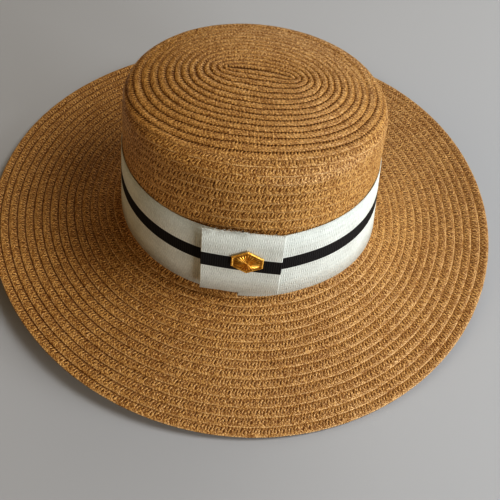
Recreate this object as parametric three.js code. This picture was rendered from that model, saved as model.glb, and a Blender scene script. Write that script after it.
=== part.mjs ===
// A wide-brim straw boater hat with a striped ribbon band, in millimetres, +Z up.
//
// The hat rests on its brim on the plane Z = 0, with the origin at the bottom centre of its box.
// The crown is an oval tube: its long axis is X, with the front of the head towards -X. The folded
// ribbon tab and its ornament are on the wearer's left side, which faces -Y.
// Angles go round +Z from +X, so the middle of the tab is near -90 degrees.

import * as THREE from "three";
import { mergeVertices } from "three/addons/utils/BufferGeometryUtils.js";

// Driving dimensions

const STRAW = 2.2; // thickness of the sewn braid
const GAP = 0.3; // clearance between two pieces that touch

const CROWN = {
  halfLength: 97, // half axes of the oval at the foot, outside
  halfWidth: 90,
  height: 114, // from the foot to the edge of the tip
  topLength: 0.915, // the oval at the top, as a share of the foot's
  topWidth: 0.83,
  shoulder: 12, // radius of the edge between wall and tip
  dome: 11.5, // rise of the tip's centre over its edge
};

const BRIM = {
  width: 99, // along the straw, from the foot of the crown to the edge
  fold: 3, // radius of the bend between wall and brim
  rise: 21, // height of the crown's foot over the lowest of the edge
  wave: 6.5, // how far the edge waves up and down from its mean height
  waveLow: -60, // degrees, one of the two places where the edge is lowest
  flareEnds: 20, // degrees of slope that the brim loses on its way out, at the front and back
  flareSides: 0, // and at the left and right sides of the head
  leanBack: 2.8, // degrees that the crown leans away from the tab's side
  leanFront: 1, // degrees that the crown leans towards the front of the head
};

const RIBBON = {
  width: 59.5,
  thickness: 1,
  foot: 4.2, // height of its lower edge over the foot of the crown
  overEnd: -88.5, // degrees, where the end that lies on top begins
  underEnd: -80, // degrees, where the end below it stops, after one turn
  lap: 0.15, // clearance between the two ends
  step: 1.5, // how much lower the end on top lies
  ramp: 20, // degrees over which it comes down from the end below
  settle: 55, // degrees over which it rises to its height
};

const TAB = {
  width: 56,
  height: 58.5,
  thickness: 1.6, // two layers of the ribbon, folded flat
  curve: 420, // radius of its gentle bend round the crown
  angle: -88.3, // degrees, where its middle is
  foot: 9, // height of its lower edge over the foot of the crown
};

const ORNAMENT = {
  width: 22,
  height: 20.5,
  flat: 8.4, // length of each upright side
  thickness: 2.2,
  bevel: 0.8,
  aside: 4, // towards the back of the head from the tab's middle
  up: 3.5, // over the tab's middle
};

const COLUMNS = 72;

const degrees = THREE.MathUtils.degToRad;

// The crown

// Half axes of the crown's outer oval at a height over its foot.
function halfAxes(height) {
  const share = height / CROWN.height;
  return {
    length: CROWN.halfLength * (1 - (1 - CROWN.topLength) * share),
    width: CROWN.halfWidth * (1 - (1 - CROWN.topWidth) * share),
  };
}

// A point on the oval with these half axes, and the oval's outward normal there.
function onOval(axes, angle, height) {
  return new THREE.Vector3(
    axes.length * Math.cos(angle),
    axes.width * Math.sin(angle),
    height,
  );
}

function ovalNormal(axes, angle) {
  return new THREE.Vector3(
    axes.width * Math.cos(angle),
    axes.length * Math.sin(angle),
    0,
  ).normalize();
}

// The crown stands a little out of plumb over the brim's edge.
const STAND = new THREE.Matrix4()
  .makeTranslation(0, 0, BRIM.rise)
  .multiply(new THREE.Matrix4().makeRotationX(-degrees(BRIM.leanBack)))
  .multiply(new THREE.Matrix4().makeRotationY(-degrees(BRIM.leanFront)));

function crownPoint(angle, height, inset = 0) {
  const axes = halfAxes(height);
  const smaller = { length: axes.length - inset, width: axes.width - inset };
  return onOval(smaller, angle, height).applyMatrix4(STAND);
}

// The tip's ovals keep one distance from ring to ring, so they close on a short line.
function tipPoint(angle, share) {
  const axes = halfAxes(CROWN.height);
  const edge = {
    length: axes.length - CROWN.shoulder,
    width: axes.width - CROWN.shoulder,
  };
  const ring = {
    length: edge.length - edge.width * (1 - share),
    width: edge.width * share,
  };
  const height = CROWN.height + CROWN.dome * (1 - share * share);
  return onOval(ring, angle, height).applyMatrix4(STAND);
}

function shoulderPoint(angle, turn) {
  const height = CROWN.height - CROWN.shoulder * (1 - Math.sin(turn));
  return crownPoint(angle, height, CROWN.shoulder * (1 - Math.cos(turn)));
}

// A point on the straight part of the wall, at a share of the way up from the fold.
function wallPoint(angle, share) {
  const straight = CROWN.height - CROWN.shoulder - BRIM.fold;
  return crownPoint(angle, BRIM.fold + share * straight);
}

function foldPoint(angle, turn) {
  const height = BRIM.fold * (1 - Math.sin(turn));
  return crownPoint(angle, height, -BRIM.fold * (1 - Math.cos(turn)));
}

// The brim

// Height of the brim's edge over its lowest places.
function edgeHeight(angle) {
  return BRIM.wave * (1 - Math.cos(2 * (angle - degrees(BRIM.waveLow))));
}

// Points along the brim from the fold to the edge, at shares of its width. Its slope changes
// steadily on the way out, and its mean slope brings the edge to its height.
function brimPoints(angle, shares) {
  const start = foldPoint(angle, Math.PI / 2);
  const outward = ovalNormal(halfAxes(0), angle);
  const length = BRIM.width - BRIM.fold;
  const mean = Math.asin((start.z - STRAW - edgeHeight(angle)) / length);
  const ends = Math.cos(angle) ** 2;
  const flare = degrees(BRIM.flareEnds * ends + BRIM.flareSides * (1 - ends));
  const points = [];
  const at = start.clone();
  let from = 0;
  for (const share of shares) {
    const step = (share - from) * length;
    const slope = mean + flare * (0.5 - (share + from) / 2);
    at.addScaledVector(outward, step * Math.cos(slope));
    at.z -= step * Math.sin(slope);
    points.push(at.clone());
    from = share;
  }
  return points;
}

// The straw body, tip, wall and brim in one

const TIP_SHARES = [0.07, 0.22, 0.4, 0.58, 0.76, 0.9];
const SHOULDER_TURNS = [90, 65, 40, 18, 0].map(degrees);
const WALL_SHARES = [0.85, 0.68, 0.51, 0.34, 0.18, 0.06];
const FOLD_TURNS = [0, 35, 65, 90].map(degrees);
const BRIM_SHARES = [0.08, 0.2, 0.34, 0.48, 0.62, 0.76, 0.89, 1];

// Outer surface of the hat down one column, from the tip's middle to the brim's edge.
function outerColumn(angle) {
  return [
    ...TIP_SHARES.map((share) => tipPoint(angle, share)),
    ...SHOULDER_TURNS.map((turn) => shoulderPoint(angle, turn)),
    ...WALL_SHARES.map((share) => wallPoint(angle, share)),
    ...FOLD_TURNS.map((turn) => foldPoint(angle, turn)),
    ...brimPoints(angle, BRIM_SHARES),
  ];
}

// The same column moved in by the straw's thickness, square to the surface.
function innerColumn(columns, i) {
  const column = columns[i];
  const left = columns[(i + columns.length - 1) % columns.length];
  const right = columns[(i + 1) % columns.length];
  return column.map((point, row) => {
    const above = column[Math.max(row - 1, 0)];
    const below = column[Math.min(row + 1, column.length - 1)];
    const down = new THREE.Vector3().subVectors(below, above);
    const across = new THREE.Vector3().subVectors(right[row], left[row]);
    const inward = down.cross(across).normalize().negate();
    return point.clone().addScaledVector(inward, STRAW);
  });
}

// A closed mesh from a list of points and a list of triangles, as indices into the points.
function solid(points, triangles) {
  const geometry = new THREE.BufferGeometry().setFromPoints(points);
  geometry.setIndex(triangles.flat());
  return mergeVertices(geometry, 1e-4);
}

// Two triangles for the four corners of a patch, in order round it.
function patch(a, b, c, d) {
  return [
    [a, b, c],
    [a, c, d],
  ];
}

function strawGeometry() {
  const angles = Array.from(
    { length: COLUMNS },
    (_, i) => (2 * Math.PI * i) / COLUMNS,
  );
  const outer = angles.map(outerColumn);
  const inner = outer.map((_, i) => innerColumn(outer, i));
  const rows = outer[0].length;
  const top = tipPoint(0, 0).add(tipPoint(Math.PI, 0)).multiplyScalar(0.5);
  const under = top.clone();
  under.z -= STRAW;
  const points = [...outer.flat(), ...inner.flat(), top, under];
  const out = (i, row) => (i % COLUMNS) * rows + row;
  const inn = (i, row) => (COLUMNS + (i % COLUMNS)) * rows + row;
  const topIndex = points.length - 2;
  const underIndex = points.length - 1;
  const triangles = [];
  for (let i = 0; i < COLUMNS; i++) {
    triangles.push([topIndex, out(i, 0), out(i + 1, 0)]);
    triangles.push([underIndex, inn(i + 1, 0), inn(i, 0)]);
    for (let row = 0; row < rows - 1; row++) {
      triangles.push(
        ...patch(
          out(i, row),
          out(i, row + 1),
          out(i + 1, row + 1),
          out(i + 1, row),
        ),
      );
      triangles.push(
        ...patch(
          inn(i, row),
          inn(i + 1, row),
          inn(i + 1, row + 1),
          inn(i, row + 1),
        ),
      );
    }
    const last = rows - 1;
    triangles.push(
      ...patch(out(i, last), inn(i, last), inn(i + 1, last), out(i + 1, last)),
    );
  }
  return solid(points, triangles);
}

// The ribbons

// A strip of even thickness, from sections that each give the four corners of a cut across it:
// outer top, outer foot, inner foot, inner top.
function stripGeometry(sections) {
  const triangles = [];
  const at = (section, corner) => section * 4 + (corner % 4);
  for (let i = 0; i < sections.length - 1; i++) {
    for (let corner = 0; corner < 4; corner++) {
      triangles.push(
        ...patch(
          at(i, corner),
          at(i, corner + 1),
          at(i + 1, corner + 1),
          at(i + 1, corner),
        ),
      );
    }
  }
  const last = sections.length - 1;
  triangles.push(...patch(at(0, 3), at(0, 2), at(0, 1), at(0, 0)));
  triangles.push(
    ...patch(at(last, 0), at(last, 1), at(last, 2), at(last, 3)),
  );
  return solid(sections.flat(), triangles);
}

// The band is one turn of ribbon and an overlap: its end at the tab lies over its beginning.
function bandGeometry() {
  const start = degrees(RIBBON.overEnd);
  const landing = degrees(RIBBON.underEnd + 1.5);
  const end = degrees(RIBBON.underEnd + 360);
  const count = 96;
  const sections = [];
  for (let i = 0; i <= count; i++) {
    const angle = start + ((end - start) * i) / count;
    const down = THREE.MathUtils.smoothstep(
      angle,
      landing,
      landing + degrees(RIBBON.ramp),
    );
    const up = THREE.MathUtils.smoothstep(
      angle,
      start,
      start + degrees(RIBBON.settle),
    );
    const inside = GAP + (1 - down) * (RIBBON.thickness + RIBBON.lap);
    const outside = inside + RIBBON.thickness;
    const foot = RIBBON.foot - (1 - up) * RIBBON.step;
    const top = foot + RIBBON.width;
    sections.push([
      crownPoint(angle, top, -outside),
      crownPoint(angle, foot, -outside),
      crownPoint(angle, foot, -inside),
      crownPoint(angle, top, -inside),
    ]);
  }
  return stripGeometry(sections);
}

// A frame on the crown's wall at the tab: X along the ribbon, Y up the wall, Z outwards.
function wallFrame(angle, height, outwards) {
  const axes = halfAxes(height);
  const normal = ovalNormal(axes, angle);
  const low = crownPoint(angle, height - 1, -outwards);
  const high = crownPoint(angle, height + 1, -outwards);
  const up = high.clone().sub(low).normalize();
  const along = new THREE.Vector3()
    .crossVectors(up, normal.transformDirection(STAND))
    .normalize();
  const out = new THREE.Vector3().crossVectors(along, up);
  const middle = low.add(high).multiplyScalar(0.5);
  return new THREE.Matrix4().makeBasis(along, up, out).setPosition(middle);
}

const TAB_BACK = GAP + 2 * RIBBON.thickness + RIBBON.lap + GAP; // outside both ends of the band
const TAB_FRAME = wallFrame(
  degrees(TAB.angle),
  TAB.foot + TAB.height / 2,
  TAB_BACK,
);

// A flat folded loop of ribbon with rounded ends, bent gently round the crown.
function tabGeometry() {
  const half = TAB.width / 2;
  const round = TAB.thickness / 2;
  const outline = [];
  const steps = 12;
  for (let i = 0; i <= steps; i++) {
    outline.push([-half + round + ((TAB.width - TAB.thickness) * i) / steps, 0]);
  }
  for (const turn of [-60, -30, 0, 30, 60].map(degrees)) {
    outline.push([
      half - round + round * Math.cos(turn),
      round + round * Math.sin(turn),
    ]);
  }
  for (let i = steps; i >= 0; i--) {
    outline.push([
      -half + round + ((TAB.width - TAB.thickness) * i) / steps,
      TAB.thickness,
    ]);
  }
  for (const turn of [120, 150, 180, 210, 240].map(degrees)) {
    outline.push([
      -half + round + round * Math.cos(turn),
      round + round * Math.sin(turn),
    ]);
  }
  const shape = new THREE.Shape(outline.map(([x, y]) => new THREE.Vector2(x, y)));
  const geometry = new THREE.ExtrudeGeometry(shape, {
    depth: TAB.height,
    bevelEnabled: false,
    steps: 1,
  });
  const position = geometry.getAttribute("position");
  for (let i = 0; i < position.count; i++) {
    const x = position.getX(i);
    const out = position.getY(i) - (x * x) / (2 * TAB.curve);
    const up = TAB.height / 2 - position.getZ(i);
    position.setXYZ(i, x, up, out);
  }
  return geometry;
}

// The ornament

// A six-sided plate, wider than high, with points at its top and foot, flat at the back.
function ornamentGeometry() {
  const { width, height, flat, thickness, bevel } = ORNAMENT;
  const corner = (x, y) => new THREE.Vector2(x, y);
  const shape = new THREE.Shape([
    corner(width / 2 - bevel, -flat / 2),
    corner(width / 2 - bevel, flat / 2),
    corner(0, height / 2 - bevel),
    corner(-width / 2 + bevel, flat / 2),
    corner(-width / 2 + bevel, -flat / 2),
    corner(0, -height / 2 + bevel),
  ]);
  const plate = new THREE.ExtrudeGeometry(shape, {
    depth: thickness - bevel,
    bevelEnabled: true,
    bevelSize: bevel,
    bevelThickness: bevel,
    bevelSegments: 2,
    steps: 1,
  });
  const position = plate.getAttribute("position");
  for (let i = 0; i < position.count; i++) {
    const z = position.getZ(i);
    if (z < 0) {
      position.setZ(i, 0);
    }
  }
  return plate;
}

// Pieces and their places

function piece(name, geometry, color, roughness, metalness, frame) {
  const material = new THREE.MeshStandardMaterial({
    color,
    roughness,
    metalness,
    flatShading: true,
  });
  const mesh = new THREE.Mesh(geometry, material);
  mesh.name = name;
  if (frame) {
    mesh.applyMatrix4(frame);
  }
  return mesh;
}

const ornamentFrame = TAB_FRAME.clone().multiply(
  new THREE.Matrix4().makeTranslation(
    ORNAMENT.aside,
    ORNAMENT.up,
    TAB.thickness + GAP,
  ),
);

const hat = new THREE.Group();
hat.add(
  piece("straw_body", strawGeometry(), 0xb98750, 0.75, 0),
  piece("ribbon_band", bandGeometry(), 0xe9e6de, 0.85, 0),
  piece("ribbon_tab", tabGeometry(), 0xefece4, 0.85, 0, TAB_FRAME),
  piece("ornament", ornamentGeometry(), 0xd9a236, 0.3, 1, ornamentFrame),
);

// The origin goes to the bottom centre of the hat's box.
const box = new THREE.Box3().setFromObject(hat);
const centre = box.getCenter(new THREE.Vector3());
hat.position.set(-centre.x, -centre.y, -box.min.z);

export default hat;
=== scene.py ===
"""A wide-brim straw boater with a striped ribbon band: its looks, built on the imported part.

The straw is one braid, sewn round and round from the middle of the tip to the brim's edge. Each
round is a closed band of stitches, laid on the hat's form so that its outer edge lies over the
next round. Lengths are in millimetres until a piece is laid, and in metres from there on.
Front, back, left and right are as one faces the tab: the front is -Y and the right is +X.
"""

import math

import bmesh
import bpy
import numpy as np
from mathutils import Matrix, Vector


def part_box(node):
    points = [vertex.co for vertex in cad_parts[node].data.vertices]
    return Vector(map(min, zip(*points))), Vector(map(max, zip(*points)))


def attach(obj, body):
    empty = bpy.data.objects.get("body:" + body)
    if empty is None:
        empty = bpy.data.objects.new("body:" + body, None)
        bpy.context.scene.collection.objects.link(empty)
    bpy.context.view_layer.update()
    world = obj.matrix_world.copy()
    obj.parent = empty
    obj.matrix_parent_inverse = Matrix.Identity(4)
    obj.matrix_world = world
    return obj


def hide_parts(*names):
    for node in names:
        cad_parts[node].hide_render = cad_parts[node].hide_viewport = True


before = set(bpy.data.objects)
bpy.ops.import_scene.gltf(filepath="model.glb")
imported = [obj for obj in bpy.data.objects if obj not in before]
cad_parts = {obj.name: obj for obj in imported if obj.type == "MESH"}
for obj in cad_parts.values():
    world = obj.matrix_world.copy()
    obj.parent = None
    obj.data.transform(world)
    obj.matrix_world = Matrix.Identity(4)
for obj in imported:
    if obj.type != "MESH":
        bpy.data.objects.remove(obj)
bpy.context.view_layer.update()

MM = 0.001

# The hat's form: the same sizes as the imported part

HALF_LENGTH = 97  # half axes of the crown's oval at its foot
HALF_WIDTH = 90
CROWN_HEIGHT = 114
TOP_LENGTH = 0.915  # the oval at the top, as a share of the foot's
TOP_WIDTH = 0.83
SHOULDER = 12  # radius of the edge between wall and tip
DOME = 11.5  # rise of the tip's middle over its edge
SEAM = 20.3  # half length of the straight start of the braid
SEAM_BACK = 4.4  # how far the start lies behind the tip's middle
SEAM_TURN = -0.075  # its slope, seen from above
SEAM_BEND = 2.2  # how far the middle of the start bows back

BRIM_WIDTH = 99
FOLD = 3  # radius of the bend between wall and brim
RISE = 21  # height of the crown's foot over the lowest of the edge
WAVE = 6.5  # how far the edge waves up and down
WAVE_LOW = math.radians(-60)  # the angle where it is lowest, and lowest again across from it
FLARE = math.radians(20)  # slope that the brim loses on its way out, at the left and right
LEAN_BACK = math.radians(2.8)  # how far the crown leans
LEAN_LEFT = math.radians(1)
STRAW = 2.2  # its thickness

FOOT_SWELL = 4.2  # how far the crown's foot stands out at the right of the front
SWELL_ANGLE = math.radians(-28)
SWELL_SPREAD = math.radians(23)
SWELL_HEIGHT = 62  # where the swelling ends, up the wall
SWELL_FADE = 0.45  # and over what share of the brim

RIBBON_WIDTH = 59.5
RIBBON_FOOT = 4.2
OVER_END = math.radians(-88.5)  # where the band's upper end begins
UNDER_END = math.radians(-80)  # where its lower end stops, after one turn
END_STEP = 1.5  # how much lower the upper end lies
END_RAMP = math.radians(20)  # the upper end comes down over this
END_SETTLE = math.radians(55)  # and the band rises to its height over this

TAB_WIDTH = 56
TAB_HEIGHT = 58.5
TAB_THICKNESS = 1.6
TAB_CURVE = 420  # radius that it is bent to, round the crown
TAB_ANGLE = math.radians(-88.3)
TAB_FOOT = 9
TAB_BACK = 2.75  # how far its back stands off the straw
TAB_STRIPE = 0.496  # where the stripe's middle runs on it, of its height
TAB_STRIPE_SLOPE = -0.058

ORNAMENT_WIDTH = 22
ORNAMENT_HEIGHT = 20.5
ORNAMENT_FLAT = 8.4  # length of each upright side
ORNAMENT_THICKNESS = 2.2
ORNAMENT_ASIDE = 4
ORNAMENT_UP = 3.5


def smooth_step(value, low, high):
    share = np.clip((value - low) / (high - low), 0, 1)
    return share * share * (3 - 2 * share)


def turn_x(angle):
    c, s = math.cos(angle), math.sin(angle)
    return np.array([[1, 0, 0], [0, c, -s], [0, s, c]])


def turn_y(angle):
    c, s = math.cos(angle), math.sin(angle)
    return np.array([[c, 0, s], [0, 1, 0], [-s, 0, c]])


STAND = turn_x(-LEAN_BACK) @ turn_y(-LEAN_LEFT)


def half_axes(height):
    share = height / CROWN_HEIGHT
    return (
        HALF_LENGTH * (1 - (1 - TOP_LENGTH) * share),
        HALF_WIDTH * (1 - (1 - TOP_WIDTH) * share),
    )


def stood(x, y, z):
    """Points of the upright crown, in its place over the brim."""
    points = np.stack(np.broadcast_arrays(x, y, z), -1) @ STAND.T
    points[..., 2] += RISE
    return points


def swelling(angle, height):
    away = (angle - SWELL_ANGLE + math.pi) % (2 * math.pi) - math.pi
    around = np.exp(-((away / SWELL_SPREAD) ** 2) / 2)
    return FOOT_SWELL * around * np.clip(1 - height / SWELL_HEIGHT, 0, 1)


def crown(angle, height, inset=0):
    length, width = half_axes(height)
    inset = inset - swelling(angle, height)
    return stood(
        (length - inset) * np.cos(angle), (width - inset) * np.sin(angle), height
    )


TIP_END = HALF_WIDTH * TOP_WIDTH - SHOULDER
SHOULDER_END = TIP_END + SHOULDER * math.pi / 2
WALL_END = SHOULDER_END + CROWN_HEIGHT - SHOULDER - FOLD
FOLD_END = WALL_END + FOLD * math.pi / 2
EDGE = FOLD_END + BRIM_WIDTH - FOLD


def tip(way, angle):
    """Long rounds about a straight start, which turn into the crown's oval on the way out."""
    share = way / TIP_END
    length = HALF_LENGTH * TOP_LENGTH - SHOULDER
    start = SEAM * (1.25 * np.cos(angle) - 0.25 * np.cos(angle) ** 3)
    bow = SEAM_BACK + SEAM_TURN * start + SEAM_BEND * (1 - (start / SEAM) ** 2)
    return stood(
        (1 - share) * start + share * length * np.cos(angle),
        way * np.sin(angle) + (1 - share) * bow,
        CROWN_HEIGHT + DOME * (1 - share**2),
    )


def shoulder(way, angle):
    turn = (way - TIP_END) / SHOULDER
    return crown(
        angle,
        CROWN_HEIGHT - SHOULDER * (1 - np.cos(turn)),
        SHOULDER * (1 - np.sin(turn)),
    )


def wall(way, angle):
    return crown(angle, CROWN_HEIGHT - SHOULDER - (way - SHOULDER_END))


def fold(way, angle):
    turn = (way - WALL_END) / FOLD
    return crown(angle, FOLD * (1 - np.sin(turn)), -FOLD * (1 - np.cos(turn)))


def brim(way, angle):
    """The brim's slope changes steadily on the way out and brings the edge to its height."""
    start = crown(angle, 0, -FOLD)
    out = np.stack([HALF_WIDTH * np.cos(angle), HALF_LENGTH * np.sin(angle)], -1)
    out /= np.linalg.norm(out, axis=-1, keepdims=True)
    length = BRIM_WIDTH - FOLD
    edge = WAVE * (1 - np.cos(2 * (angle - WAVE_LOW)))
    mean = np.arcsin((start[..., 2] - STRAW - edge) / length)
    flare = np.maximum(FLARE * np.cos(angle) ** 2, 1e-5)
    share = (way - FOLD_END) / length
    first = mean + flare / 2
    last = mean + flare * (0.5 - share)
    reach = length * (np.sin(first) - np.sin(last)) / flare
    drop = length * (np.cos(last) - np.cos(first)) / flare
    points = start.copy()
    reach -= swelling(angle, 0) * smooth_step(share, 0, SWELL_FADE)
    points[..., :2] += out * reach[..., None]
    points[..., 2] -= drop
    return points


def surface(way, angle):
    """The straw's outer face, at a way along it from the middle of the tip."""
    way, angle = np.broadcast_arrays(np.asarray(way, float), np.asarray(angle, float))
    points = np.empty(way.shape + (3,))
    for part, low, high in (
        (tip, -1e9, TIP_END),
        (shoulder, TIP_END, SHOULDER_END),
        (wall, SHOULDER_END, WALL_END),
        (fold, WALL_END, FOLD_END),
        (brim, FOLD_END, 1e9),
    ):
        here = (way > low) & (way <= high)
        if here.any():
            points[here] = part(way[here], angle[here])
    return points


def lay(way, angle, lift):
    """Points lifted off the straw's outer face by so many millimetres."""
    step = 0.4
    out = surface(way + step, angle) - surface(np.maximum(way - step, 0), angle)
    along = surface(way, angle + 0.004) - surface(way, angle - 0.004)
    normal = np.cross(out, along)
    normal /= np.maximum(np.linalg.norm(normal, axis=-1, keepdims=True), 1e-9)
    return surface(way, angle) + normal * np.asarray(lift)[..., None]


turns = np.linspace(0, 2 * math.pi, 1441)[:-1]
rim = brim(np.full_like(turns, EDGE), turns)
rim_low, rim_high = rim.min(0), rim.max(0)
straw_low, straw_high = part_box("straw_body")
PLACE = np.array(
    [
        (straw_low.x + straw_high.x) / 2 / MM - (rim_low[0] + rim_high[0]) / 2,
        (straw_low.y + straw_high.y) / 2 / MM - (rim_low[1] + rim_high[1]) / 2,
        0,
    ]
)


# Making meshes


def rolled(columns, rows, place, closed=True, uv=None):
    """A mesh from a flat grid of columns and rows, each of its points moved to place(column,
    row), and merged where a closed grid meets its start. uv(column, row) maps it."""
    strip = bmesh.new()
    bmesh.ops.create_grid(strip, x_segments=columns, y_segments=rows, size=1)
    mesh = bpy.data.meshes.new("strip")
    strip.to_mesh(mesh)
    strip.free()
    flat = np.empty(len(mesh.vertices) * 3)
    mesh.vertices.foreach_get("co", flat)
    flat = flat.reshape(-1, 3)
    column = np.rint((flat[:, 0] + 1) / 2 * columns).astype(int)
    row = np.rint((flat[:, 1] + 1) / 2 * rows).astype(int)
    if uv:
        corner = np.empty(len(mesh.loops), int)
        mesh.loops.foreach_get("vertex_index", corner)
        weave = mesh.uv_layers.new(name="weave")
        pairs = np.stack(uv(column[corner], row[corner]), -1)
        weave.data.foreach_set("uv", pairs.astype(np.float32).ravel())
    points = (place(column, row) + PLACE) * MM
    mesh.vertices.foreach_set("co", points.astype(np.float32).ravel())
    shaped = bmesh.new()
    shaped.from_mesh(mesh)
    bpy.data.meshes.remove(mesh)
    if closed:
        bmesh.ops.remove_doubles(shaped, verts=shaped.verts, dist=2e-6)
    return shaped


def sort_faces(shaped):
    """Puts the faces in the order of their corners, so that every run lists them alike."""
    shaped.verts.index_update()
    count = len(shaped.verts)

    def rank(face):
        first, second, third = sorted(corner.index for corner in face.verts)[:3]
        return (first * count + second) * count + third

    shaped.faces.sort(key=rank)


def piece(name, parts, node):
    """One piece of several parts, smooth, faces outward, riding with the hat."""
    mesh = bpy.data.meshes.new(name)
    whole = bmesh.new()
    for part in parts:
        bmesh.ops.recalc_face_normals(part, faces=part.faces)
        part.to_mesh(mesh)
        part.free()
        whole.from_mesh(mesh)
    for face in whole.faces:
        face.smooth = True
    whole.to_mesh(mesh)
    whole.free()
    made = bpy.data.objects.new(name, mesh)
    bpy.context.scene.collection.objects.link(made)
    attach(made, "root")
    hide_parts(node)
    return made


# The braid

STITCH = 2.28  # length of a stitch along the braid
LEAN = math.tan(math.radians(20))  # how far the stitches lean along the round
PHASES = np.array([0, 0.2, 0.8])  # the slit between two strands, and the strand's sides

# across: the place across the visible part of a round, from its inner to its outer edge;
# flat, cord: height over the hat's form, of a flat braid and of one rolled like a cord;
# slit, notch: how far the slits between the strands go in there, on a flat braid and on a
# cord; loop: how far the edge's loops stand apart.
SECTION = [
    # across, flat, cord, slit, notch, loop
    (-0.20, -1.10, -1.15, 0.0, 0.0, 0.0),
    (0.01, -0.38, -0.62, 0.1, 1.1, 0.0),
    (0.09, -0.20, -0.34, 0.5, 1.1, 0.0),
    (0.24, -0.06, -0.06, 1.0, 0.4, 0.0),
    (0.42, 0.03, 0.14, 1.0, 0.0, 0.0),
    (0.60, 0.10, 0.24, 0.6, 0.0, 0.0),
    (0.80, 0.15, 0.22, 0.0, 0.0, 0.5),
    (0.93, 0.14, 0.00, 0.0, 0.0, 1.0),
    (0.995, -0.10, -0.40, 0.0, 0.0, 0.4),
    (0.95, -0.85, -0.95, 0.0, 0.0, 0.0),
    (0.45, -1.30, -1.30, -0.5, -0.5, 0.0),
    (-0.10, -1.80, -1.80, -0.3, -0.3, 0.0),
]
CROSSING = 0.6  # where across a round its strands turn back

# The braid's rounds, from the middle of the tip outwards.
ROUNDS = [
    # part, width of each round, how far rolled like a cord, depth of the slits
    ("tip", [4.2, 4.3, 4.6, 4.3, 4.6, 4, 3.8, 3.8, 3.8, 3.9, 3.9, 4, 4.2, 4.4, 4.9], 1.0, 0.8),
    ("shoulder", [5.37] * 3, 0.0, 0.6),
    ("wall", [7.6] * 14, 0.0, 1.0),
    ("brim", [6.45] * 15, 0.4, 0.8),
]
borders, rolls, slits = [0.0], [], []
for _, widths, roll, depth in ROUNDS:
    for width in widths:
        borders.append(borders[-1] + width)
        rolls.append(roll)
        slits.append(depth)
borders = np.array(borders) * EDGE / borders[-1]
CORD_END = 15  # the tip's rounds, rolled like cords, come before this one
WALL_START = 18
BRIM_START = 32
HIDDEN = range(24, 31)  # rounds of the wall that the ribbon covers

FOLD_GAP = 1.05  # how far the start of the braid gapes, at the left of its front side
FOLD_ANGLE = math.radians(235)
FOLD_SPREAD = math.radians(33)
STRAY = 0.12  # how far the rounds' borders stray, for each of the waves in them

DROP_BEHIND = 22  # how much lower the crown's rounds run behind than at the front
DROP_LEFT = 2.5  # and on the left than in the middle
CLOSE_LEFT = 5  # how much further out the brim's rounds begin on the left, and so lie closer
DROP_STARTS = (12, 68)  # the ways over which the drop comes in, on the tip
DROP_FADES = (122, 178)  # and those over which it is lost again, on the wall

SLIT_DEPTH = 0.95
LOOP_DEPTH = 0.28
CORD_LOOP_DEPTH = 0.2  # added to it on a cord
LOOP_TOP = 0.93  # where across a round its edge loops are at their widest


def wander(index, angle):
    """How far a border between two rounds strays from its even course."""
    if index == 0:
        return FOLD_GAP * np.exp(-(((angle - FOLD_ANGLE) / FOLD_SPREAD) ** 2))
    if index == len(borders) - 1:
        return np.zeros_like(angle)
    chance = np.random.default_rng(100 + index)
    stray = np.zeros_like(angle)
    for waves in (2, 3, 5, 9, 14):
        stray += chance.normal(0, STRAY) * np.sin(
            waves * angle + chance.uniform(0, 2 * math.pi)
        )
    return stray


def run(way, angle):
    """Where a round lies that would be at this way at the front. On the crown the rounds run
    lower at the sides and the back; on the brim they lie closer together on the left."""
    crown_drift = DROP_BEHIND * np.tanh(1 + np.sin(angle)) - DROP_LEFT * np.cos(angle)
    crown_share = smooth_step(way, *DROP_STARTS) * np.interp(way, DROP_FADES, [1, 0])
    brim_share = np.interp(way, [*DROP_FADES, EDGE], [0, 1, 0])
    return way + crown_drift * crown_share - CLOSE_LEFT * np.cos(angle) * brim_share


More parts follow.
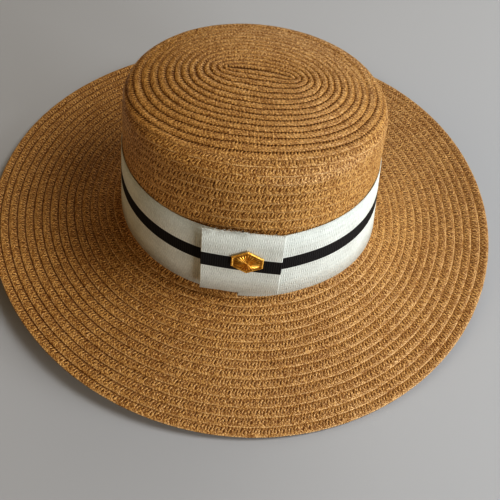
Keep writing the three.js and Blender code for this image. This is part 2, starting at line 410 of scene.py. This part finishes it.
def braid_round(index):
    """One round of the braid: a closed band of stitches over the next round's inner edge."""
    chance = np.random.default_rng(index)
    pitch = borders[index + 1] - borders[index]
    middle = (borders[index] + borders[index + 1]) / 2
    course = surface(run(middle, turns), turns)
    steps = np.linalg.norm(np.roll(course, -1, 0) - course, axis=1)
    girth = steps.sum()
    travelled = np.concatenate([[0], np.cumsum(steps)]) / girth
    bearings = np.concatenate([turns, [2 * math.pi]])
    stitches = 2 * round(girth / STITCH / 2)
    per_stitch = 1 if index in HIDDEN else len(PHASES)
    depth = chance.uniform(0.3, 1.2, stitches)
    shift = chance.normal(0, 0.04, stitches)
    height = chance.normal(0, 0.015, stitches)
    lean = LEAN * chance.normal(1, 0.06, stitches)
    section = np.array(SECTION)

    def place(column, row):
        across, flat, cord, slit, notch, loop = section[row % len(section)].T
        stitch = column // per_stitch % stitches
        phase = PHASES[column % per_stitch]
        turn = (column // per_stitch + phase + shift[stitch]) / stitches
        turn -= lean[stitch] * np.minimum(across, CROSSING) * pitch / girth
        back = np.clip((across - CROSSING) / (LOOP_TOP - CROSSING), 0, 1)
        turn = (turn + 0.5 * back / stitches) % 1
        angle = np.interp(turn, travelled, bearings)
        inner = run(borders[index], angle) + wander(index, angle)
        outer = run(borders[index + 1], angle) + wander(index + 1, angle)
        way = np.maximum(inner + across * (outer - inner), 0)
        way = np.where((index == 0) & (across < 0), 0, way)
        low = (phase == 0) & (per_stitch > 1)
        lift = flat + (cord - flat) * rolls[index]
        slit = slit * np.where(stitch % 2, across < 0.5, across > 0.15)
        slit = slit + (notch - slit) * rolls[index]
        lift = lift - SLIT_DEPTH * low * slit * depth[stitch] * slits[index]
        loop_depth = LOOP_DEPTH + CORD_LOOP_DEPTH * rolls[index]
        lift = lift - loop_depth * low * loop * depth[stitch]
        lift = lift + height[stitch] * (across > 0.1) * (across < 0.95)
        return lay(way, angle, lift)

    def weave(column, row):
        across = section[row % len(section), 0]
        phase = PHASES[column % per_stitch]
        return column // per_stitch + phase, index + across

    return rolled(stitches * per_stitch, len(section), place, uv=weave)


def braid_piece(name, first, last):
    rounds = [braid_round(index) for index in range(first, last)]
    return piece(name, rounds, "straw_body")


straw = [
    braid_piece("straw_tip", 0, WALL_START),
    braid_piece("straw_wall", WALL_START, BRIM_START),
    braid_piece("straw_brim_inner", BRIM_START, BRIM_START + 6),
    braid_piece("straw_brim_middle", BRIM_START + 6, BRIM_START + 11),
    braid_piece("straw_brim_outer", BRIM_START + 11, len(rolls)),
]


# The ribbons

RIB = 1.6  # one rib of the ribbon, along its length
RIB_HEIGHT = 0.08
TAB_RIBS = 0.3  # the tab is pressed, so its ribs stand this share as high
RIBBON_THICKNESS = 0.45
RIBBON_ROWS = 4
BAND_LIFT = 0.75  # from the straw's outer face to the ribbon's
OVERLAP_LIFT = 1.1  # added to it where the upper end lies over the lower one
OVERLAP_EDGE = 0.03  # the angle past the lower end before the upper end comes down
STRIPE_MIDDLE = 0.5425  # of the ribbon's width
TAB_MAP = 0.88  # the tab's share of the ribbon's width, as its stripe shows it


def rib(column):
    """The ribbon's ribs, four columns each."""
    return RIB_HEIGHT * np.cos(math.pi / 2 * column)


def ribbon_piece(name, columns, place, weave, looped, node):
    """A length of ribbon, laid along its course and given its thickness."""
    ribbon = rolled(columns, RIBBON_ROWS, place, closed=looped, uv=weave)
    bmesh.ops.recalc_face_normals(ribbon, faces=ribbon.faces)
    bmesh.ops.solidify(ribbon, geom=ribbon.faces, thickness=RIBBON_THICKNESS * MM)
    sort_faces(ribbon)
    return piece(name, [ribbon], node)


def ribbon_band():
    """One turn of ribbon: its upper end comes from the right and lies over its lower end."""
    girth = math.pi * (HALF_LENGTH + HALF_WIDTH)
    span = UNDER_END + 2 * math.pi - OVER_END
    length = girth * span / (2 * math.pi)
    columns = round(length / RIB) * 4
    over = UNDER_END + OVERLAP_EDGE

    def place(column, row):
        angle = OVER_END + span * column / columns
        down = smooth_step(angle, over, over + END_RAMP)
        up = smooth_step(angle, OVER_END, OVER_END + END_SETTLE)
        lift = BAND_LIFT + (1 - down) * OVERLAP_LIFT + rib(column)
        height = RIBBON_FOOT - (1 - up) * END_STEP + RIBBON_WIDTH * row / RIBBON_ROWS
        return crown(angle, height, -lift)

    def weave(column, row):
        return column / 4, row / RIBBON_ROWS

    made = ribbon_piece("band_ribbon", columns, place, weave, False, "ribbon_band")
    return made


def wall_frame(angle, height, off):
    """A place on the crown's wall: X along the ribbon, Y up the wall, Z outwards."""
    low, high = crown(angle, height - 1, -off), crown(angle, height + 1, -off)
    length, width = half_axes(height)
    normal = STAND @ [width * math.cos(angle), length * math.sin(angle), 0]
    up = (high - low) / np.linalg.norm(high - low)
    along = np.cross(up, normal)
    along /= np.linalg.norm(along)
    return np.stack([along, up, np.cross(along, up)], 1), (low + high) / 2


TAB_AXES, TAB_MIDDLE = wall_frame(TAB_ANGLE, TAB_FOOT + TAB_HEIGHT / 2, TAB_BACK)


def on_tab(x, y, z):
    return np.stack(np.broadcast_arrays(x, y, z), -1) @ TAB_AXES.T + TAB_MIDDLE


def ribbon_tab():
    """A short length of ribbon, folded flat: across the front, round both ends, to the back."""
    bend = TAB_THICKNESS / 2 - 0.3
    flat = TAB_WIDTH - 2 * bend - 0.6
    girth = 2 * flat + 2 * math.pi * bend
    columns = round(girth / RIB) * 4
    runs = np.cumsum([flat / 2, math.pi * bend, flat, math.pi * bend, flat / 2])

    def across_tab(way):
        """The loop's course, seen from above: X along the ribbon, Z outwards."""
        first, turned, front, back = runs[:4]
        x = np.select(
            [way <= first, way <= turned, way <= front, way <= back],
            [
                way,
                flat / 2 + bend * np.sin((way - first) / bend),
                flat / 2 - (way - turned),
                -flat / 2 - bend * np.sin((way - front) / bend),
            ],
            way - girth,
        )
        z = np.select(
            [way <= first, way <= turned, way <= front, way <= back],
            [
                -bend,
                -bend * np.cos((way - first) / bend),
                bend,
                bend * np.cos((way - front) / bend),
            ],
            -bend,
        )
        return x, z

    def place(column, row):
        x, z = across_tab(girth * column / columns)
        z += TAB_THICKNESS / 2 - x**2 / (2 * TAB_CURVE) + rib(column) * TAB_RIBS
        return on_tab(x, TAB_HEIGHT * (row / RIBBON_ROWS - 0.5), z)

    def weave(column, row):
        x, _ = across_tab(girth * column / columns)
        middle = TAB_STRIPE + TAB_STRIPE_SLOPE * x / TAB_WIDTH
        return column / 4, STRIPE_MIDDLE + (row / RIBBON_ROWS - middle) * TAB_MAP

    made = ribbon_piece("tab_ribbon", columns, place, weave, True, "ribbon_tab")
    girth * MM
    return made


THREADS = 40
THREAD_RADIUS = 0.17
THREAD_SIDES = 3
THREAD_ROWS = 5


def loose_threads():
    """Short threads that have come loose along the tab's upper edge, most of them at the left."""
    chance = np.random.default_rng(7)
    threads = []
    for _ in range(THREADS):
        start = TAB_WIDTH * (chance.beta(1.2, 2.2) - 0.5)
        length = chance.uniform(3, 7)
        rise = math.radians(chance.uniform(4, 42))
        side = chance.choice([-1, 1])
        curl = chance.normal(0, 0.8)
        off = TAB_THICKNESS * chance.uniform(0.5, 1.1)

        def place(column, row):
            share = row / THREAD_ROWS
            radius = THREAD_RADIUS * np.sin(math.pi * share)
            round_it = 2 * math.pi * column / THREAD_SIDES
            x = start + side * length * math.cos(rise) * share
            y = length * math.sin(rise) * share + curl * share * (1 - share)
            z = off + 0.2 * share - x**2 / (2 * TAB_CURVE)
            y = TAB_HEIGHT / 2 + y + radius * np.cos(round_it)
            return on_tab(x, y, z + radius * np.sin(round_it))

        def white(column, row):
            return column / THREAD_SIDES, row / THREAD_ROWS * 0.1

        threads.append(rolled(THREAD_SIDES, THREAD_ROWS, place, uv=white))
    return piece("tab_threads", threads, "ribbon_tab")


band = ribbon_band()
tab = ribbon_tab()
threads = loose_threads()


# The ornament

PLATE_SECTION = [
    # share of the way from the middle to the edge, height over the plate's back
    (0.00, 2.10),
    (0.10, 2.05),
    (0.24, 1.95),
    (0.40, 1.82),
    (0.56, 1.68),
    (0.70, 1.50),
    (0.80, 1.30),
    (0.85, 1.20),
    (0.89, 1.45),
    (0.94, 1.55),
    (0.98, 1.35),
    (1.00, 1.10),
    (1.00, 0.40),
    (0.97, 0.00),
    (0.00, 0.00),
]
RELIEF_ROWS = 10  # the rows up to this one are the plate's face


def ornament():
    """A cast six-sided plate with a corded border round a field of fine ridges."""
    corners = [
        (0, ORNAMENT_HEIGHT / 2),
        (-ORNAMENT_WIDTH / 2, ORNAMENT_FLAT / 2),
        (-ORNAMENT_WIDTH / 2, -ORNAMENT_FLAT / 2),
        (0, -ORNAMENT_HEIGHT / 2),
        (ORNAMENT_WIDTH / 2, -ORNAMENT_FLAT / 2),
        (ORNAMENT_WIDTH / 2, ORNAMENT_FLAT / 2),
    ]
    corners = np.array(corners + corners[:1], float)
    lengths = np.linalg.norm(np.diff(corners, axis=0), axis=1)
    travelled = np.concatenate([[0], np.cumsum(lengths)])
    back = TAB_THICKNESS + 0.3

    def outline(way, scale):
        x = np.interp(way * travelled[-1], travelled, corners[:, 0])
        y = np.interp(way * travelled[-1], travelled, corners[:, 1])
        return x * scale, y * scale

    columns = 240
    ridges, twists = 24, 48
    ridge_height, cord_height = 0.34, 0.2
    across, height = np.array(PLATE_SECTION).T
    face_rows = RELIEF_ROWS + 2

    def place(column, row):
        way = (column % columns) / columns
        x, y = outline(way, across[row])
        field = np.interp(across[row], [0.05, 0.22, 0.72, 0.82], [0, 1, 1, 0])
        cord = np.interp(across[row], [0.83, 0.89, 0.98, 1], [0, 1, 1, 0])
        z = back + height[row]
        z += field * ridge_height * np.cos(2 * math.pi * way * ridges)
        z += cord * cord_height * np.cos(2 * math.pi * (way * twists + across[row] * 4))
        z = np.where(row > RELIEF_ROWS, back + height[row], z)
        return on_tab(x + ORNAMENT_ASIDE, y + ORNAMENT_UP, z)

    def relief_map(column, row):
        return column / columns * ridges, np.minimum(row, face_rows) / face_rows

    plate = rolled(columns, len(across) - 1, place, uv=relief_map)
    return piece("gold_plate", [plate], "ornament")


plate = ornament()


# Finishes


class Socket:
    """An output of a node. Arithmetic on it adds Math nodes."""

    def __init__(self, finish, output):
        self.finish = finish
        self.output = output

    def math(self, operation, *values):
        settings = {"operation": operation}
        return self.finish.node("ShaderNodeMath", settings, dict(enumerate(values)))

    def __add__(self, other):
        return self.math("ADD", self, other)

    __radd__ = __add__

    def __sub__(self, other):
        return self.math("SUBTRACT", self, other)

    def __rsub__(self, other):
        return self.math("SUBTRACT", other, self)

    def __mul__(self, other):
        return self.math("MULTIPLY", self, other)

    __rmul__ = __mul__

    def fraction(self):
        return self.math("FRACT", self)

    def floor(self):
        return self.math("FLOOR", self)

    def distance(self, other):
        return self.math("ABSOLUTE", self - other)

    def ramp(self, low, high, start=0, end=1):
        """Goes smoothly from start to end while the value goes from low to high."""
        inputs = {
            "Value": self,
            "From Min": low,
            "From Max": high,
            "To Min": start,
            "To Max": end,
        }
        return self.finish.node(
            "ShaderNodeMapRange", {"interpolation_type": "SMOOTHSTEP"}, inputs
        )


class Finish:
    """A material and the nodes that colour it."""

    def __init__(self, name, **constants):
        self.material = bpy.data.materials.new(name)
        self.material.use_nodes = True
        self.tree = self.material.node_tree
        self.shader = self.tree.nodes["Principled BSDF"]
        for socket, value in constants.items():
            self.shader.inputs[socket.replace("_", " ")].default_value = value

    def node(self, kind, settings=None, inputs=None, output=None):
        made = self.tree.nodes.new(kind)
        for name, value in (settings or {}).items():
            setattr(made, name, value)
        for key, value in (inputs or {}).items():
            self.feed(self.pick(made.inputs, key), value)
        if output is None:
            output = next(i for i, s in enumerate(made.outputs) if s.enabled)
        return Socket(self, self.pick(made.outputs, output))

    def pick(self, sockets, key):
        if isinstance(key, int):
            return sockets[key]
        return next(s for s in sockets if s.name == key and s.enabled)

    def feed(self, socket, value):
        if isinstance(value, Socket):
            self.tree.links.new(value.output, socket)
        else:
            socket.default_value = value

    def mix(self, factor, a, b):
        settings = {"data_type": "RGBA", "clamp_factor": True}
        a, b = (c if isinstance(c, Socket) else (*c, 1) for c in (a, b))
        return self.node("ShaderNodeMix", settings, {"Factor": factor, "A": a, "B": b})

    def weave(self):
        """The two ways of a piece's own map."""
        place = self.node("ShaderNodeUVMap", {"uv_map": "weave"})
        return (
            self.node("ShaderNodeSeparateXYZ", None, {0: place}, "X"),
            self.node("ShaderNodeSeparateXYZ", None, {0: place}, "Y"),
        )

    def bearings(self):
        """How far a point lies to the right of the hat's middle, and behind it, in metres."""
        return (
            self.node("ShaderNodeSeparateXYZ", None, {0: self.solid()}, "X"),
            self.node("ShaderNodeSeparateXYZ", None, {0: self.solid()}, "Y"),
        )

    def vector(self, x, y, z=0):
        return self.node("ShaderNodeCombineXYZ", None, {"X": x, "Y": y, "Z": z})

    def noise(self, where, scale, detail=2, roughness=0.5):
        inputs = {
            "Vector": where,
            "Scale": scale,
            "Detail": detail,
            "Roughness": roughness,
        }
        return self.node("ShaderNodeTexNoise", None, inputs, "Fac")

    def solid(self):
        return self.node("ShaderNodeTexCoord", None, None, "Object")

    def finish(self, colour, roughness=None, height=None, depth=0.0, strength=1.0):
        self.feed(self.shader.inputs["Base Color"], colour)
        if roughness is not None:
            self.feed(self.shader.inputs["Roughness"], roughness)
        if height is not None:
            bump = self.node(
                "ShaderNodeBump",
                None,
                {"Height": height, "Distance": depth, "Strength": strength},
            )
            self.feed(self.shader.inputs["Normal"], bump)
        return self.material


def straw_finish():
    """Paper straw: warm tan strands, with painted shade in the slits and under each round's edge.

    On the piece's own map, a whole number along is a stitch and one across is a round, so
    stitch and place run from 0 to 1 within them. Painted highlights lie along the strands' crests
    and the rounds' rims. The painted shade in the tip's grooves is fainter behind, and the
    painted shadow in the gaps between the brim's outer rounds is darker on the left."""
    straw = Finish("paper_straw", Specular_IOR_Level=0.42, Coat_Roughness=0.4)
    along, across = straw.weave()
    stitch, place = along.fraction(), across.fraction()
    cord = across.ramp(CORD_END - 0.4, CORD_END + 0.4, 1, 0)
    right, behind = straw.bearings()
    # Painted shade in the grooves between the tip's rounds, stronger in front and fainter behind.
    groove_shade = cord * behind.ramp(0.0, 0.035, 1, 0.2)
    on_brim = across.ramp(BRIM_START - 1, BRIM_START)
    on_wall = 1 - cord - on_brim
    lots = straw.node(
        "ShaderNodeTexWhiteNoise",
        {"noise_dimensions": "2D"},
        {"Vector": straw.vector(along.floor(), across.floor())},
        "Value",
    )
    side = stitch.distance(0.5)
    odd = (along * 0.5 + 0.25).fraction().ramp(0.45, 0.55)
    # Painted shade down in the slits between the strands, in the upper or lower half of a round
    # by turns, and along the tip's grooves.
    upper = place.ramp(0.04, 0.12) * place.ramp(0.50, 0.38)
    lower = place.ramp(0.18, 0.30) * place.ramp(0.72, 0.58)
    slit = (upper * odd + lower * (1 - odd)) * (1 - cord)
    slit = slit * (1 + on_brim * 0.15) + place.ramp(0.36, 0.16) * groove_shade
    slit = slit * side.ramp(0.28 - cord * 0.1, 0.45)
    slit = slit * (0.45 + lots * 0.55 + cord * 0.3)
    # Painted shade in the gaps between the loops of each round's outer edge.
    loops = side.ramp(0.34, 0.48) * place.ramp(0.66, 0.80)
    # Painted shade under each round's outer edge, on the tip's grooves and faintly on the wall.
    under = place.ramp(0.15, 0.0) * (groove_shade * 0.4 + on_wall * 0.1)
    # Painted shadow in the gaps between the brim's rounds, random in strength and stronger on the
    # outer rounds at the left.
    left_shadow = right.ramp(0.0, -0.12) * across.ramp(BRIM_START + 1, BRIM_START + 6)
    gap_shade = (0.05 + lots * 0.25 + left_shadow * 0.6) * on_brim
    under = under + place.ramp(0.22, 0.03) * gap_shade
    # A thin line of painted shade along the gape at the braid's start.
    under = under + across.ramp(0.07, 0.0) * 0.6
    strands = straw.noise(straw.vector(along * 2.6, across * 3.6), 1.0, 3, 0.7)
    # Painted light and shade on the small diagonal weave: each strand lighter along its crest and
    # darker at its edges.
    bias = (along + place * 3).fraction(), (along - place * 3).fraction()
    turned = ((along + place * 3).floor() + (along - place * 3).floor()) * 0.5
    over = turned.fraction().ramp(0.2, 0.3)
    edge = bias[0].distance(0.5) * over + bias[1].distance(0.5) * (1 - over)
    crest_highlight = edge.ramp(0.46, 0.1) * (0.45 + on_brim * 0.55)
    grain = straw.noise(straw.solid(), 950, 1, 0.6)
    dashes = straw.noise(straw.vector(along * 0.3, across.floor() * 7.3), 1.0, 1, 0.5)
    # A painted highlight on each round's outer rim, broken into dashes.
    rim = place.ramp(0.82, 0.90) * place.ramp(1.0, 0.96) * (on_wall + on_brim * 0.75)
    rim = rim * dashes.ramp(0.35, 0.6)
    patches = straw.noise(straw.solid(), 26, 3, 0.55)
    tone = strands * 1.8 + crest_highlight * 0.25 + lots * 0.12 + patches * 0.2 + grain * 0.7
    tone = tone - on_brim * 0.12
    # The strands' tone runs between these two colours; it holds the painted crest highlight as
    # well as the straw's own grain and random tone.
    shade, light = (0.22, 0.082, 0.008), (0.84, 0.495, 0.160)
    # Colours of the painted rim highlight, of the painted shade under the edges and of the
    # painted shade in the slits.
    pale, under_shade_colour, slit_shade_colour = (0.81, 0.54, 0.26), (0.075, 0.021, 0.001), (0.07, 0.019, 0.001)
    colour = straw.mix(tone.ramp(1.14, 1.90), shade, light)
    # Mixes in the painted rim highlight, then the painted shade in the slits and loops, then
    # under the edges.
    colour = straw.mix(rim * 0.6, colour, pale)
    colour = straw.mix(slit + loops * (0.3 + cord * 0.2), colour, slit_shade_colour)
    colour = straw.mix(under, colour, under_shade_colour)
    coat = (1 - slit) * (1 - under) * tone.ramp(1.3, 1.8)
    straw.feed(straw.shader.inputs["Coat Weight"], coat)
    roughness = 0.48 + slit * 0.5 + under * 0.4
    return straw.finish(colour, roughness, strands + grain, depth=0.0006, strength=0.8)


def ribbon_finish():
    """White ribbed ribbon with a woven black stripe."""
    ribbon = Finish("ribbed_ribbon", Roughness=0.65, Specular_IOR_Level=0.35)
    along, across = ribbon.weave()
    rib = along.math("COSINE", along * (2 * math.pi))
    cells = rib * across.math("COSINE", across * (2 * math.pi * 12))
    from_stripe = across.distance(STRIPE_MIDDLE)
    stripe = from_stripe.ramp(0.0945, 0.0895)
    patches = ribbon.noise(ribbon.solid(), 60, 3, 0.6)
    knots = ribbon.noise(ribbon.solid(), 650, 1, 0.5)
    cloth = patches * 0.6 + knots * 0.6
    white = ribbon.mix(cloth.ramp(0.35, 0.85), (0.60, 0.61, 0.55), (0.74, 0.75, 0.68))
    # Painted light and shade on the black stripe: lighter on the ribs' crests, darker in their
    # valleys.
    black = ribbon.mix(rib.ramp(-1, 1), (0.004, 0.004, 0.004), (0.018, 0.018, 0.019))
    # Painted shade in the hollows of the ribs and the weave's cells.
    white = ribbon.mix(cells.ramp(0.3, -0.8) * 0.2, white, (0.42, 0.43, 0.38))
    colour = ribbon.mix(stripe, white, black)
    return ribbon.finish(colour, None, rib * 0.15 + cells * 0.5 + knots, 0.0003, 0.4)


def gold_finish():
    """Amber gold, browned down between the ridges and along the border's foot."""
    gold = Finish("gold_metal", Metallic=1.0, Roughness=0.4)
    along, across = gold.weave()
    valley = along.math("COSINE", along * (2 * math.pi)).ramp(0.5, -0.7)
    field = across.ramp(0.05, 0.15) * across.ramp(0.60, 0.50)
    foot = across.ramp(0.40, 0.50) * across.ramp(0.66, 0.56)
    patches = gold.noise(gold.solid(), 500, 3, 0.6)
    colour = gold.mix(patches.ramp(0.3, 0.7), (0.72, 0.36, 0.05), (1.0, 0.66, 0.20))
    brown = valley.math("MAXIMUM", valley * field, foot) * 0.5
    colour = gold.mix(brown, colour, (0.22, 0.07, 0.008))
    return gold.finish(colour, patches.ramp(0.2, 0.8, 0.34, 0.5))


paper_straw = straw_finish()
ribbed_ribbon = ribbon_finish()
gold_metal = gold_finish()
for made in straw:
    made.data.materials.append(paper_straw)
for made in (band, tab, threads):
    made.data.materials.append(ribbed_ribbon)
plate.data.materials.append(gold_metal)


# The floor, the lights and the camera


def floor():
    ground = bmesh.new()
    bmesh.ops.create_grid(ground, x_segments=1, y_segments=1, size=4)
    mesh = bpy.data.meshes.new("floor")
    ground.to_mesh(mesh)
    ground.free()
    made = bpy.data.objects.new("floor", mesh)
    bpy.context.scene.collection.objects.link(made)
    pale = Finish("pale_floor", Base_Color=(0.47, 0.47, 0.47, 1), Roughness=0.9)
    mesh.materials.append(pale.material)
    return made


LIGHTS = [
    # name, azimuth from the front, elevation, power, colour, size
    ("window_front", 45, 14, 11.0, (0.95, 1.0, 1.06), 0.7),
    ("window", 80, 15, 8.8, (0.95, 1.0, 1.07), 0.7),
    ("window_top", 96, 58, 11.5, (0.97, 1.0, 1.04), 0.7),
    ("rear", 168, 32, 5.2, (1.0, 0.98, 0.93), 0.9),
    ("left", -70, 30, 3.8, (1.0, 0.73, 0.42), 1.2),
]


def soft_light(name, azimuth, elevation, power, colour, size, distance=1.7):
    """A square light on a dome round the hat, facing it."""
    light = bpy.data.lights.new(name, "AREA")
    light.shape = "SQUARE"
    light.size = size
    light.energy = power
    light.color = colour
    made = bpy.data.objects.new(name, light)
    azimuth, elevation = math.radians(azimuth), math.radians(elevation)
    towards = Vector(
        (
            math.sin(azimuth) * math.cos(elevation),
            -math.cos(azimuth) * math.cos(elevation),
            math.sin(elevation),
        )
    )
    made.location = towards * distance
    made.rotation_euler = towards.to_track_quat("Z", "Y").to_euler()
    bpy.context.scene.collection.objects.link(made)
    return made


def camera():
    """Looks down on the tab's side from the front, turned a little on its own axis."""
    elevation, azimuth, roll = (math.radians(v) for v in (57.22, -0.7, 8.0))
    back = Vector(
        (
            math.sin(azimuth) * math.cos(elevation),
            -math.cos(azimuth) * math.cos(elevation),
            math.sin(elevation),
        )
    )
    right = Vector((math.cos(azimuth), math.sin(azimuth), 0))
    up = back.cross(right)
    x = right * math.cos(roll) + up * math.sin(roll)
    y = up * math.cos(roll) - right * math.sin(roll)
    made = bpy.data.objects.new("camera", bpy.data.cameras.new("camera"))
    look = Vector((0.0078, -0.0292, -0.0082))
    place = look + back * 0.5985
    made.matrix_world = Matrix.Translation(place) @ Matrix((x, y, back)).transposed().to_4x4()
    made.data.lens = 54
    made.data.sensor_width = 36
    bpy.context.scene.collection.objects.link(made)
    bpy.context.scene.camera = made


floor()
for light in LIGHTS:
    soft_light(*light)
world = bpy.data.worlds.new("room")
world.use_nodes = True
world.node_tree.nodes["Background"].inputs["Color"].default_value = (1.0, 0.84, 0.62, 1)
world.node_tree.nodes["Background"].inputs["Strength"].default_value = 0.07
bpy.context.scene.world = world
bpy.context.scene.view_settings.view_transform = "Standard"
bpy.context.scene.view_settings.look = "High Contrast"
camera()
